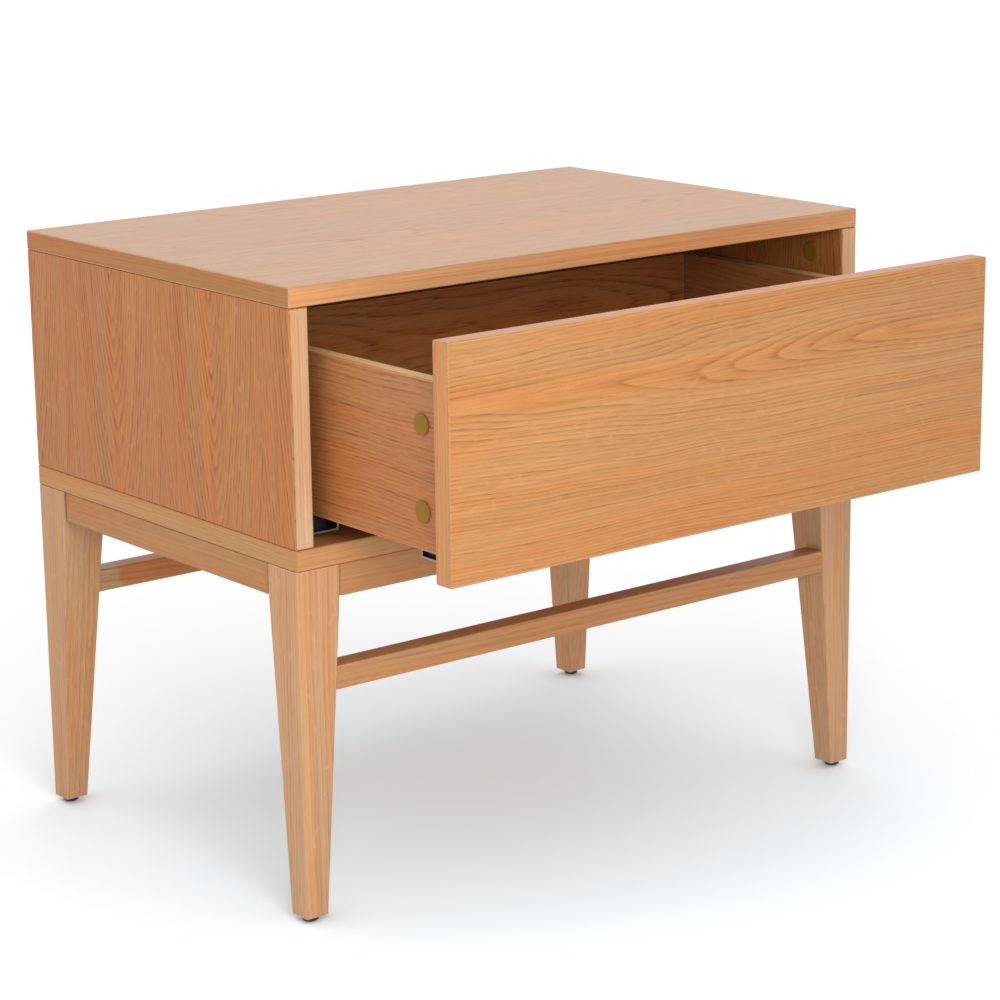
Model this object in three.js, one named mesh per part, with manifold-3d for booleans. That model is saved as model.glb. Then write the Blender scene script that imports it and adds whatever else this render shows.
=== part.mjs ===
// A bedside table in veneered board and solid oak: a carcass with one inset drawer on undermount
// runners, standing on a leg frame. The drawer stands part-way open.
// Millimetres. +X to the right, +Y to the back, +Z up, floor at z = 0.
import * as THREE from "three";
import { ConvexGeometry } from "three/addons/geometries/ConvexGeometry.js";
import { mergeVertices } from "three/addons/utils/BufferGeometryUtils.js";
import Module from "manifold-3d";

const wasm = await Module();
wasm.setup();

// Overall sizes
const width = 600; // across the carcass
const depth = 390; // front to back
const height = 510; // floor to table top
const carcassHeight = 221; // underside of the bottom panel to the table top
const drawerOpen = 170; // how far the drawer stands out of its closed place
const seatGap = 0.2; // between faces that rest on each other
const boreGap = 0.3; // round a piece in its own hole or groove
const cutOverrun = 1; // how far a cutting tool starts outside the face that it opens
const roundSegments = { screw: 12, cam: 16, glide: 20, cap: 24 };

// Carcass boards
const topThickness = 16;
const sideThickness = 17;
const bottomThickness = 17;
const easedEdge = 1.5; // small bevel along every board edge
const backThickness = 5;
const backInset = 8; // back panel in from the rear edges
const backGroove = 6; // how deep it sits in the boards

// Leg frame
const legTop = 40; // square section under the carcass
const legFoot = 20; // square section at the floor
const legEase = 2;
const apronHeight = 26;
const apronThickness = 20;
const apronInset = 1; // apron face behind the leg face
const apronEndBevel = 3; // groove where an apron meets a leg
const apronTenon = { length: 12, thickness: 8, shoulder: 4 };
const stretcherHeight = 19.5;
const stretcherDepth = 20;
const stretcherInset = 0.5;
const stretcherDrop = 55.5; // apron underside to the stretcher
const stretcherTenon = { length: 10, thickness: 8, shoulder: 4 };
const glideRadius = 6.5;
const glideHeight = 5;
const glideDome = { inset: 1.5, height: 2, steps: 3 };
const glideNail = { radius: 1.2, length: 12 };
const tongueRoot = 10; // how far a tongue runs back into its own rail
const blockRise = 3.8; // apron underside to the corner block's
const blockScrewInset = 8; // corner block's screw behind the leg's inner faces
const blockScrewRoom = 10.2; // from the screw to the block's long face, along X plus Y

// Drawer
const frontThickness = 18;
const frontInset = 1; // closed front face behind the carcass edges
const frontSideGap = 2.2;
const frontBottomGap = 2;
const frontTopGap = 4.5;
const boxWall = 12.5; // drawer sides and back
const boxTopGap = 39; // drawer sides to the top panel
const boxRearGap = 21.5; // closed drawer box to the back panel
const boxSideGap = 15.5; // drawer side to carcass side
const boxLift = 19; // bottom panel to the drawer sides
const drawerBottomThickness = 6;
const drawerBottomLift = 13; // underside above the drawer sides' lower edge
const drawerBottomGroove = 6;

// Runners: a fixed rail, a slide that makes half the travel, and a carrier under the drawer
const railStart = 21; // carcass front edge to the rail's front end
const railRearGap = 16; // rail to the back panel
const slideRearGap = 18; // closed slide to the back panel
const carrierRearGap = 22; // closed carrier to the back panel
const memberSetback = 4; // drawer front to the slide, carrier and catch
const runnerSheet = 1.5;
const slideSheet = 1.2;
const railLift = 4; // bottom panel to the rail's base
const railFlange = 28; // height of the flange on the carcass side
const runnerClearance = 2.3; // side to side, where one member runs inside the next
const slideTopClearance = 2;
const carrierTopClearance = 3.8;
const carrierSideGap = 1.7; // drawer side to the carrier
const slideFlange = 12.2;
const carrierFlange = 17.2;
const catchLength = 64;
const catchWidth = 28.8;
const catchLift = 2.5; // bottom panel to the catch
const catchStep = 7.5; // height of the part that reaches under the slide
const catchClearance = 1;

// Fittings
const camRadius = 7.5;
const camDepth = 10.5;
const camFloor = 1.7; // drawer side left behind a cam
const camBoltRadius = 3;
const camBoltBite = 11; // thread in the board that it draws up
const capOverhang = 1; // cover cap beyond its cam, all round
const capThickness = 1.2;
const capBevel = 0.7;
const carcassCamPlace = 24; // down from the top panel
const carcassCamInset = 38; // in from the front and rear edges
const drawerCamPlace = 31; // back from the drawer front
const drawerCamDrop = 34.3; // upper cam below the drawer side's top edge
const drawerCamRise = 10.7; // lower cam above the drawer bottom
const carcassScrew = { radius: 2.5, headRadius: 5, headHeight: 4, length: 45, inset: 85 };
const frameScrewHead = { radius: 2.2, headRadius: 4.5, headHeight: 3 };
const frameScrewBite = 13.1; // thread in the bottom panel

// Worked out from the sizes above
const halfWidth = width / 2;
const halfDepth = depth / 2;
const frameTop = height - carcassHeight;
const floorOfCarcass = frameTop + bottomThickness;
const ceilingOfCarcass = height - topThickness;
const openingHalf = halfWidth - sideThickness;
const apronBottom = frameTop - apronHeight;
const stretcherTop = apronBottom - stretcherDrop;
const stretcherBottom = stretcherTop - stretcherHeight;
const blockHeight = apronHeight - seatGap - blockRise;
const blockScrewPlace = legTop + blockScrewInset; // from both outer faces
const frameScrewLength = blockHeight + seatGap - boreGap + frameScrewBite;
const frameScrew = { ...frameScrewHead, length: frameScrewLength };
const backPanelRear = halfDepth - backInset;
const backPanelFront = backPanelRear - backThickness;
const boxHalf = openingHalf - boxSideGap;
const boxInnerHalf = boxHalf - boxWall;
const boxBottom = floorOfCarcass + boxLift;
const boxTop = ceilingOfCarcass - boxTopGap;
const boxFront = -halfDepth + frontInset + frontThickness; // rear face of the closed drawer front
const boxRear = backPanelFront - boxRearGap;
const drawerBottomUnder = boxBottom + drawerBottomLift;
const drawerBottomUpper = drawerBottomUnder + drawerBottomThickness;
const railFront = -halfDepth + railStart;
const memberFront = boxFront + memberSetback;
const capRadius = camRadius + capOverhang;
const drawerCamDepth = boxWall - boreGap - camFloor;

const finishes = {
  oakTop: { color: 0xd9b89c, roughness: 0.5, metalness: 0 },
  oakSide: { color: 0xb87f55, roughness: 0.5, metalness: 0 },
  oakFront: { color: 0xd29765, roughness: 0.5, metalness: 0 },
  oakSolid: { color: 0xdaa67d, roughness: 0.5, metalness: 0 },
  oakDrawer: { color: 0xb3764c, roughness: 0.55, metalness: 0 },
  board: { color: 0xa9794f, roughness: 0.7, metalness: 0 },
  cap: { color: 0x88602f, roughness: 0.5, metalness: 0 },
  zinc: { color: 0xb4b6b8, roughness: 0.3, metalness: 1 },
  black: { color: 0x1c1a19, roughness: 0.5, metalness: 0 },
};

function asSolid(geometry) {
  const bare = geometry.index ? geometry.toNonIndexed() : geometry.clone();
  bare.deleteAttribute("normal");
  bare.deleteAttribute("uv");
  const merged = mergeVertices(bare, 1e-4);
  return new wasm.Manifold(
    new wasm.Mesh({
      numProp: 3,
      vertProperties: merged.attributes.position.array,
      triVerts: new Uint32Array(merged.index.array),
    }),
  );
}

function asGeometry(solid) {
  const mesh = solid.getMesh();
  const positions = new Float32Array(mesh.numVert * 3);
  for (let i = 0; i < mesh.numVert; i++) {
    const start = i * mesh.numProp;
    positions.set(mesh.vertProperties.subarray(start, start + 3), i * 3);
  }
  const shared = new THREE.BufferGeometry();
  shared.setAttribute("position", new THREE.BufferAttribute(positions, 3));
  shared.setIndex(new THREE.BufferAttribute(new Uint32Array(mesh.triVerts), 1));
  const flat = shared.toNonIndexed();
  flat.computeVertexNormals();
  return flat;
}

const join = (...parts) =>
  asGeometry(parts.map(asSolid).reduce((whole, part) => whole.add(part)));

const cut = (body, tools) =>
  asGeometry(tools.map(asSolid).reduce((rest, tool) => rest.subtract(tool), asSolid(body)));

// One named node. Cuts are given in the group's own coordinates, as the position is.
function addPiece(group, name, finish, geometry, position, cuts = []) {
  const [x, y, z] = position;
  const tools = cuts.map((tool) => tool.clone().translate(-x, -y, -z));
  const shape = tools.length ? cut(geometry, tools) : geometry;
  const mesh = new THREE.Mesh(shape, new THREE.MeshStandardMaterial(finishes[finish]));
  mesh.name = name;
  mesh.position.set(x, y, z);
  group.add(mesh);
  return mesh;
}

function addGroup(parent) {
  const group = new THREE.Group();
  parent.add(group);
  return group;
}

// A box between two corners, for tongues and cutting tools.
function boxBetween(low, high) {
  const size = high.map((value, i) => value - low[i]);
  const middle = high.map((value, i) => (value + low[i]) / 2);
  return new THREE.BoxGeometry(...size).translate(...middle);
}

// A board with a small bevel on all twelve edges, centred on its own origin.
function easedBoard(sizeX, sizeY, sizeZ, ease = easedEdge) {
  const half = [sizeX / 2, sizeY / 2, sizeZ / 2];
  const points = [];
  for (const signX of [-1, 1])
    for (const signY of [-1, 1])
      for (const signZ of [-1, 1])
        for (let face = 0; face < 3; face++) {
          const [x, y, z] = half.map((value, i) => (i === face ? value : value - ease));
          points.push(new THREE.Vector3(signX * x, signY * y, signZ * z));
        }
  return new ConvexGeometry(points);
}

// A closed turned shape about Z from [radius, z] pairs, starting and ending on the axis.
function turned(profile, segments) {
  const points = profile.map(([radius, z]) => new THREE.Vector2(radius, z));
  return new THREE.LatheGeometry(points, segments).rotateX(Math.PI / 2);
}

function rod(radius, length, segments = roundSegments.screw) {
  return new THREE.CylinderGeometry(radius, radius, length, segments).rotateX(Math.PI / 2);
}

// An outline in X and Z, extruded towards the front (-Y) by the length.
function extrudedForward(outline, length) {
  const shape = new THREE.Shape(outline.map(([x, z]) => new THREE.Vector2(x, z)));
  const geometry = new THREE.ExtrudeGeometry(shape, { depth: length, bevelEnabled: false });
  return geometry.rotateX(Math.PI / 2);
}

// An outline in X and Y, extruded upwards.
function extrudedUp(outline, length) {
  const shape = new THREE.Shape(outline.map(([x, y]) => new THREE.Vector2(x, y)));
  return new THREE.ExtrudeGeometry(shape, { depth: length, bevelEnabled: false });
}

const sides = [
  { name: "left", x: -1 },
  { name: "right", x: 1 },
];
const ends = [
  { name: "front", y: -1 },
  { name: "rear", y: 1 },
];
const corners = ends.flatMap((end) =>
  sides.map((side) => ({ name: `${end.name}_${side.name}`, x: side.x, y: end.y })),
);

// Fittings ---------------------------------------------------------------------------------

// A cam in its bore with its bolt: cam axis along X, bolt along +Z from the cam's middle.
function camFitting(thickness, boltLength) {
  const cam = rod(camRadius, thickness, roundSegments.cam).rotateY(Math.PI / 2);
  const bolt = rod(camBoltRadius, boltLength).translate(0, 0, boltLength / 2);
  return join(cam, bolt);
}

// The hole for that fitting, open through the face that the cam went in by.
function camBore(thickness, boltLength, openTowards) {
  const boreDepth = thickness + 2 * boreGap + cutOverrun;
  const bore = rod(camRadius + boreGap, boreDepth, roundSegments.cam);
  const shift = (openTowards * cutOverrun) / 2;
  const hole = rod(camBoltRadius + boreGap, boltLength + boreGap);
  return [
    bore.rotateY(Math.PI / 2).translate(shift, 0, 0),
    hole.translate(0, 0, (boltLength + boreGap) / 2),
  ];
}

// A round cover cap with a bevelled rim, its flat back at z = 0.
const coverCap = () =>
  turned(
    [
      [0, 0],
      [capRadius, 0],
      [capRadius, capThickness - capBevel],
      [capRadius - capBevel, capThickness],
      [0, capThickness],
    ],
    roundSegments.cap,
  );

// A countersunk screw standing on its head at z = 0, with its point up.
const woodScrew = ({ radius, headRadius, headHeight, length }) =>
  turned(
    [
      [0, 0],
      [headRadius, 0],
      [radius, headHeight],
      [radius, length - 2 * radius],
      [0, length],
    ],
    roundSegments.screw,
  );

const screwHole = ({ radius, headRadius, headHeight, length }) =>
  turned(
    [
      [0, -cutOverrun],
      [headRadius + boreGap, -cutOverrun],
      [headRadius + boreGap, boreGap],
      [radius + boreGap, headHeight + boreGap],
      [radius + boreGap, length + boreGap],
      [0, length + boreGap],
    ],
    roundSegments.screw,
  );

// Carcass ----------------------------------------------------------------------------------

const camY = (end) => end.y * (halfDepth - carcassCamInset);
const camHeight = ceilingOfCarcass - carcassCamPlace;
const carcassBolt = carcassCamPlace + camBoltBite;
const sideMiddle = halfWidth - sideThickness / 2;
// The cam's open end is just under the board's inner face.
const carcassCamX = openingHalf + boreGap + camDepth / 2;

function carcassCamCuts(side, end) {
  const place = [side.x * carcassCamX, camY(end), camHeight];
  return camBore(camDepth, carcassBolt, -side.x).map((tool) => tool.translate(...place));
}

const carcassScrewPlace = (side, end) => [
  side.x * sideMiddle,
  end.y * (halfDepth - carcassScrew.inset),
  frameTop + boreGap,
];

const frameScrewPlace = (corner) => [
  corner.x * (halfWidth - blockScrewPlace),
  corner.y * (halfDepth - blockScrewPlace),
  frameTop - seatGap - blockHeight,
];

function backGrooves() {
  const reach = openingHalf + backGroove;
  return boxBetween(
    [-reach, backPanelFront - boreGap, floorOfCarcass - backGroove],
    [reach, backPanelRear + boreGap, ceilingOfCarcass + backGroove],
  );
}

function addCarcass(group) {
  const groove = backGrooves();
  const fittingCuts = (side) => ends.flatMap((end) => carcassCamCuts(side, end));
  const screwCuts = (side) =>
    ends.map((end) => screwHole(carcassScrew).translate(...carcassScrewPlace(side, end)));

  addPiece(
    group,
    "top_panel",
    "oakTop",
    easedBoard(width, depth, topThickness),
    [0, 0, height - topThickness / 2],
    [groove, ...sides.flatMap(fittingCuts)],
  );

  const sideHeight = ceilingOfCarcass - floorOfCarcass - 2 * seatGap;
  for (const side of sides)
    addPiece(
      group,
      `side_panel_${side.name}`,
      "oakSide",
      easedBoard(sideThickness, depth, sideHeight),
      [side.x * sideMiddle, 0, (ceilingOfCarcass + floorOfCarcass) / 2],
      [groove, ...fittingCuts(side), ...screwCuts(side)],
    );

  addPiece(
    group,
    "bottom_panel",
    "oakSolid",
    easedBoard(width, depth, bottomThickness),
    [0, 0, frameTop + bottomThickness / 2],
    [
      groove,
      ...sides.flatMap(screwCuts),
      ...corners.map((corner) => screwHole(frameScrew).translate(...frameScrewPlace(corner))),
    ],
  );

  const tongue = backGroove - boreGap;
  addPiece(
    group,
    "back_panel",
    "board",
    new THREE.BoxGeometry(
      2 * (openingHalf + tongue),
      backThickness,
      ceilingOfCarcass - floorOfCarcass + 2 * tongue,
    ),
    [0, (backPanelRear + backPanelFront) / 2, (ceilingOfCarcass + floorOfCarcass) / 2],
  );

  for (const side of sides)
    for (const end of ends) {
      const name = `${end.name}_${side.name}`;
      const y = camY(end);
      addPiece(group, `carcass_cam_${name}`, "zinc", camFitting(camDepth, carcassBolt), [
        side.x * carcassCamX,
        y,
        camHeight,
      ]);
      addPiece(
        group,
        `carcass_cap_${name}`,
        "cap",
        coverCap().rotateY((-side.x * Math.PI) / 2),
        [side.x * (openingHalf - seatGap), y, camHeight],
      );
      addPiece(
        group,
        `carcass_screw_${name}`,
        "zinc",
        woodScrew(carcassScrew),
        carcassScrewPlace(side, end),
      );
    }
}

// Leg frame --------------------------------------------------------------------------------

// Side of the square leg section at a height; the two outer faces stay upright.
function legSide(z) {
  const share = Math.min(1, (z - glideHeight) / (apronBottom - glideHeight));
  return legFoot + (legTop - legFoot) * share;
}

// A leg for the corner at the origin, growing towards +X and +Y.
function legShape() {
  const points = [];
  for (const z of [glideHeight, apronBottom, frameTop - seatGap]) {
    const size = legSide(z);
    for (const [u, v] of [
      [0, legEase],
      [legEase, 0],
      [size - legEase, 0],
      [size, legEase],
      [size, size - legEase],
      [size - legEase, size],
      [legEase, size],
      [0, size - legEase],
    ])
      points.push(new THREE.Vector3(u, v, z));
  }
  return new ConvexGeometry(points);
}

// Tenons, worked out once for the frame and used for both the tongue and its mortise.
const apronTongueMiddle = apronInset + apronThickness / 2;
const stretcherTongueMiddle = stretcherInset + stretcherDepth / 2;
const stretcherEnd = (z) => legSide(z) + seatGap;

// One tongue, as a box in the plan of a leg at the origin: u along the rail, v across it.
function tongue({ length, thickness, shoulder }, root, middle, [low, high], gap) {
  return boxBetween(
    [root - length - gap, middle - thickness / 2 - gap, low + shoulder - gap],
    [root + tongueRoot, middle + thickness / 2 + gap, high - shoulder + gap],
  );
}

const apronTongue = (gap) =>
  tongue(apronTenon, legTop, apronTongueMiddle, [apronBottom, frameTop], gap);

function stretcherTongue(gap) {
  const root = legSide((stretcherBottom + stretcherTop) / 2);
  const rise = [stretcherBottom, stretcherTop];
  return tongue(stretcherTenon, root, stretcherTongueMiddle, rise, gap);
}

// The same box with X and Y changed over, for the rail on the leg's other face.
function swapped(geometry) {
  const { min, max } = new THREE.Box3().setFromBufferAttribute(geometry.attributes.position);
  return boxBetween([min.y, min.x, min.z], [max.y, max.x, max.z]);
}

// Mirrors a box that belongs to the leg at the origin into the leg's own corner.
function atCorner(geometry, corner) {
  const { min, max } = new THREE.Box3().setFromBufferAttribute(geometry.attributes.position);
  const x = [min.x, max.x].map((u) => corner.x * (halfWidth - u)).sort((a, b) => a - b);
  const y = [min.y, max.y].map((v) => corner.y * (halfDepth - v)).sort((a, b) => a - b);
  return boxBetween([x[0], y[0], min.z], [x[1], y[1], max.z]);
}

function addLegs(group) {
  const nail = rod(glideNail.radius + boreGap, glideNail.length + boreGap);
  const middle = legFoot / 2;
  for (const corner of corners) {
    const turn = corner.x < 0 ? (corner.y < 0 ? 0 : -1) : corner.y < 0 ? 1 : 2;
    const shape = legShape().rotateZ((turn * Math.PI) / 2);
    const foot = [
      corner.x * (halfWidth - middle),
      corner.y * (halfDepth - middle),
      glideHeight + (glideNail.length + boreGap) / 2,
    ];
    addPiece(
      group,
      `leg_${corner.name}`,
      "oakSolid",
      shape,
      [corner.x * halfWidth, corner.y * halfDepth, 0],
      [
        atCorner(apronTongue(boreGap), corner),
        atCorner(swapped(apronTongue(boreGap)), corner),
        atCorner(stretcherTongue(boreGap), corner),
        nail.clone().translate(...foot),
      ],
    );
    addPiece(group, `glide_${corner.name}`, "black", glide(), [foot[0], foot[1], 0]);
  }
}

// A nail-on glide: a low dome with a flat underside, and its nail.
function glide() {
  const rim = glideHeight - seatGap;
  const dome = [];
  for (let step = 0; step <= glideDome.steps; step++) {
    const turn = ((step / glideDome.steps) * Math.PI) / 2;
    dome.push([
      glideRadius - glideDome.inset * (1 - Math.sin(turn)),
      glideDome.height * (1 - Math.cos(turn)),
    ]);
  }
  return turned(
    [
      [0, 0],
      ...dome,
      [glideRadius, rim],
      [glideNail.radius, rim],
      [glideNail.radius, rim + glideNail.length],
      [0, rim + glideNail.length],
    ],
    roundSegments.glide,
  );
}

// An apron along X between two legs, its outer face at y = 0, growing towards +Y.
function apronShape(span) {
  const half = span / 2 - legTop - seatGap;
  const body = extrudedUp(
    [
      [-half, apronEndBevel],
      [-half + apronEndBevel, 0],
      [half - apronEndBevel, 0],
      [half, apronEndBevel],
      [half, apronThickness],
      [-half, apronThickness],
    ],
    apronHeight - seatGap,
  ).translate(0, 0, apronBottom);
  return join(body, ...tongues(apronTongue(0), span, apronInset));
}

// The two end tongues of a rail, from the box of the one at the leg by the origin.
function tongues(tongueBox, span, inset) {
  const left = tongueBox.translate(-span / 2, -inset, 0);
  return [left, left.clone().rotateZ(Math.PI).translate(0, 2 * middleOf(left), 0)];
}

function middleOf(geometry) {
  const { min, max } = new THREE.Box3().setFromBufferAttribute(geometry.attributes.position);
  return (min.y + max.y) / 2;
}

// A stretcher whose ends are cut to the taper of the legs.
function stretcherShape() {
  const low = halfWidth - stretcherEnd(stretcherBottom);
  const high = halfWidth - stretcherEnd(stretcherTop);
  const body = extrudedForward(
    [
      [-low, stretcherBottom],
      [low, stretcherBottom],
      [high, stretcherTop],
      [-high, stretcherTop],
    ],
    stretcherDepth,
  ).translate(0, stretcherDepth, 0);
  return join(body, ...tongues(stretcherTongue(0), width, stretcherInset));
}

// A block glued into each corner behind the leg, with a screw up into the bottom panel.
function cornerBlock() {
  const face = apronInset + apronThickness + seatGap;
  const leg = legTop + seatGap;
  const reach = 2 * blockScrewPlace + blockScrewRoom - face;
  return extrudedUp(
    [
      [leg, face],
      [reach, face],
      [face, reach],
      [face, leg],
      [leg, leg],
    ],
    blockHeight,
  );
}

function addFrame(group) {
  for (const end of ends) {
    const turn = end.y < 0 ? 0 : Math.PI;
    addPiece(group, `apron_${end.name}`, "oakSolid", apronShape(width).rotateZ(turn), [
      0,
      end.y * (halfDepth - apronInset),
      0,
    ]);
    addPiece(group, `stretcher_${end.name}`, "oakSolid", stretcherShape().rotateZ(turn), [
      0,
      end.y * (halfDepth - stretcherInset),
      0,
    ]);
  }
  for (const side of sides)
    addPiece(
      group,
      `apron_${side.name}`,
      "oakSolid",
      apronShape(depth).rotateZ((side.x * Math.PI) / 2),
      [side.x * (halfWidth - apronInset), 0, 0],
    );
  for (const corner of corners) {
    const turn = corner.x < 0 ? (corner.y < 0 ? 0 : -1) : corner.y < 0 ? 1 : 2;
    const place = frameScrewPlace(corner);
    addPiece(
      group,
      `corner_block_${corner.name}`,
      "board",
      cornerBlock().rotateZ((turn * Math.PI) / 2),
      [corner.x * halfWidth, corner.y * halfDepth, place[2]],
      [screwHole(frameScrew).translate(...place)],
    );
    addPiece(group, `frame_screw_${corner.name}`, "zinc", woodScrew(frameScrew), [
      place[0],
      place[1],
      place[2] + boreGap,
    ]);
  }
}

// Drawer, in its closed place --------------------------------------------------------------

const drawerBolt = drawerCamPlace + camBoltBite;
const drawerCamX = boxHalf - boreGap - drawerCamDepth / 2;
const drawerCamHeights = {
  upper: boxTop - drawerCamDrop,
  lower: drawerBottomUpper + drawerCamRise,
};

const drawerCamPosition = (side, z) => [side.x * drawerCamX, boxFront + drawerCamPlace, z];

const drawerCamCuts = (side) =>
  Object.values(drawerCamHeights).flatMap((z) =>
    camBore(drawerCamDepth, drawerBolt, side.x).map((tool) =>
      tool.rotateX(Math.PI / 2).translate(...drawerCamPosition(side, z)),
    ),
  );

function addDrawer(group) {
  const frontHeight = ceilingOfCarcass - floorOfCarcass - frontTopGap - frontBottomGap;
  addPiece(
    group,
    "drawer_front",
    "oakFront",
    easedBoard(2 * (openingHalf - frontSideGap), frontThickness, frontHeight),
    [0, boxFront - frontThickness / 2, floorOfCarcass + frontBottomGap + frontHeight / 2],
    sides.flatMap(drawerCamCuts),
  );

  const reach = boxInnerHalf + drawerBottomGroove;
  const bottomSlot = boxBetween(
    [-reach, boxFront, drawerBottomUnder - boreGap],
    [reach, boxRear + cutOverrun, drawerBottomUpper + boreGap],
  );
  const wallLength = boxRear - boxFront - seatGap;
  for (const side of sides)
    addPiece(
      group,
      `drawer_side_${side.name}`,
      "oakDrawer",
      new THREE.BoxGeometry(boxWall, wallLength, boxTop - boxBottom),
      [side.x * (boxHalf - boxWall / 2), boxRear - wallLength / 2, (boxTop + boxBottom) / 2],
      [bottomSlot, ...drawerCamCuts(side)],
    );

  const backBottom = drawerBottomUpper + seatGap;
  addPiece(
    group,
    "drawer_back",
    "oakDrawer",
    new THREE.BoxGeometry(2 * (boxInnerHalf - seatGap), boxWall, boxTop - backBottom),
    [0, boxRear - boxWall / 2, (boxTop + backBottom) / 2],
  );

  addPiece(
    group,
    "drawer_bottom",
    "board",
    new THREE.BoxGeometry(2 * (reach - boreGap), wallLength, drawerBottomThickness),
    [0, boxRear - wallLength / 2, (drawerBottomUnder + drawerBottomUpper) / 2],
  );

  for (const side of sides)
    for (const [level, camZ] of Object.entries(drawerCamHeights)) {
      const [x, y, z] = drawerCamPosition(side, camZ);
      addPiece(
        group,
        `drawer_cam_${level}_${side.name}`,
        "zinc",
        camFitting(drawerCamDepth, drawerBolt).rotateX(Math.PI / 2),
        [x, y, z],
      );
      addPiece(
        group,
        `drawer_cap_${level}_${side.name}`,
        "cap",
        coverCap().rotateY((side.x * Math.PI) / 2),
        [side.x * (boxHalf + seatGap), y, z],
      );
    }
}

// Runners ----------------------------------------------------------------------------------

// Outlines are measured inwards from the carcass side and upwards from the bottom panel. Each
// member is the one around it less a clearance, from the drawer box down to the rail.
const railBase = railLift + runnerSheet;
const carrierTop = boxLift + drawerBottomLift - boreGap;
const slideTop = carrierTop - slideSheet - carrierTopClearance;
const webTop = slideTop - slideSheet - slideTopClearance;
const carrierInner = boxSideGap + boxWall + carrierSideGap + slideSheet;
const slideInner = carrierInner + runnerClearance + slideSheet;
const webInner = slideInner + runnerClearance;
const webOuter = webInner + runnerSheet;
const slideOuter = webOuter + runnerClearance;
const carrierOuter = slideOuter + slideSheet + runnerClearance;

// A sheet bent like a J: a flange on the carcass side, a base, and an upright web.
const railOutline = [
  [seatGap, railLift],
  [webOuter, railLift],
  [webOuter, webTop],
  [webInner, webTop],
  [webInner, railBase],
  [seatGap + runnerSheet, railBase],
  [seatGap + runnerSheet, railLift + railFlange],
  [seatGap, railLift + railFlange],
];

// An upturned channel that runs over what is inside it.
const channelOutline = (inner, outer, top, flange) => [
  [inner - slideSheet, top - flange],
  [inner, top - flange],
  [inner, top - slideSheet],
  [outer, top - slideSheet],
  [outer, top - flange],
  [outer + slideSheet, top - flange],
  [outer + slideSheet, top],
  [inner - slideSheet, top],
];

const catchInner = webOuter + catchClearance;
const catchOutline = [
  [catchInner, catchLift],
  [catchInner + catchWidth, catchLift],
  [catchInner + catchWidth, carrierTop],
  [carrierOuter + slideSheet + catchClearance, carrierTop],
  [carrierOuter + slideSheet + catchClearance, catchLift + catchStep],
  [catchInner, catchLift + catchStep],
];

// One member of a side's runner, with its outline placed between two distances from front to back.
function addMember(group, name, side, outline, front, rear) {
  const placed = outline.map(([inwards, up]) => [
    side.x * (openingHalf - inwards),
    floorOfCarcass + up,
  ]);
  const geometry = extrudedForward(placed, rear - front);
  addPiece(group, `${name}_${side.name}`, "zinc", geometry, [0, rear, 0]);
}

function addRunners(fixed, half, full) {
  const slideOutline = channelOutline(slideInner, slideOuter, slideTop, slideFlange);
  const carrierOutline = channelOutline(carrierInner, carrierOuter, carrierTop, carrierFlange);
  const railRear = backPanelFront - railRearGap;
  const slideRear = backPanelFront - slideRearGap;
  const carrierRear = backPanelFront - carrierRearGap;
  const catchRear = memberFront + catchLength;
  for (const side of sides) {
    addMember(fixed, "runner_rail", side, railOutline, railFront, railRear);
    addMember(half, "runner_slide", side, slideOutline, memberFront, slideRear);
    addMember(full, "runner_carrier", side, carrierOutline, memberFront, carrierRear);
    addMember(full, "drawer_catch", side, catchOutline, memberFront, catchRear);
  }
}

// Assembly ---------------------------------------------------------------------------------

const nightstand = new THREE.Group();
nightstand.position.y = drawerOpen / 2 - frontInset / 2; // centres the open piece on the origin

const fixedGroup = addGroup(nightstand);
const drawerGroup = addGroup(nightstand);
const slideGroup = addGroup(nightstand);
drawerGroup.position.y = -drawerOpen;
slideGroup.position.y = -drawerOpen / 2;

addCarcass(fixedGroup);
addLegs(fixedGroup);
addFrame(fixedGroup);
addDrawer(drawerGroup);
addRunners(fixedGroup, slideGroup, drawerGroup);

export default nightstand;
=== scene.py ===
import math

import bmesh
import bpy
from mathutils import Matrix, Vector


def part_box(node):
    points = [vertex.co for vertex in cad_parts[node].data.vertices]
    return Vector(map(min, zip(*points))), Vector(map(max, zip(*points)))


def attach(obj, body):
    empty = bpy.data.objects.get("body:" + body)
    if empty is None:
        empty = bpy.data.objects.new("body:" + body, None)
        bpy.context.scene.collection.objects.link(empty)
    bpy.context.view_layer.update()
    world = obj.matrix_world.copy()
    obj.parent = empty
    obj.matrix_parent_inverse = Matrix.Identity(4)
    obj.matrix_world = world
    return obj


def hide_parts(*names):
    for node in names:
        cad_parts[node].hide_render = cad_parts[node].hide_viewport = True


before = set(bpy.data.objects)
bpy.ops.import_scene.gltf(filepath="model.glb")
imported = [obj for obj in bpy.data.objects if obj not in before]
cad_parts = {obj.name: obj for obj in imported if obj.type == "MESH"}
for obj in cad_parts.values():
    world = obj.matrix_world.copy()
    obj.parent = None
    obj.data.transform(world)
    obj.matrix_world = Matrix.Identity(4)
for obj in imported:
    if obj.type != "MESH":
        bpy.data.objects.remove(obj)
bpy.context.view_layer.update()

# A bedside table in oak: a veneered carcass with one drawer on runners, on a solid leg frame.
# Metres everywhere; +X to the right, +Y to the back, +Z up, floor at z = 0.

mm = 0.001
sides = ("left", "right")
corners = ("front_left", "front_right", "rear_left", "rear_right")


# Short ways to add nodes to a tree.

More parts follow.
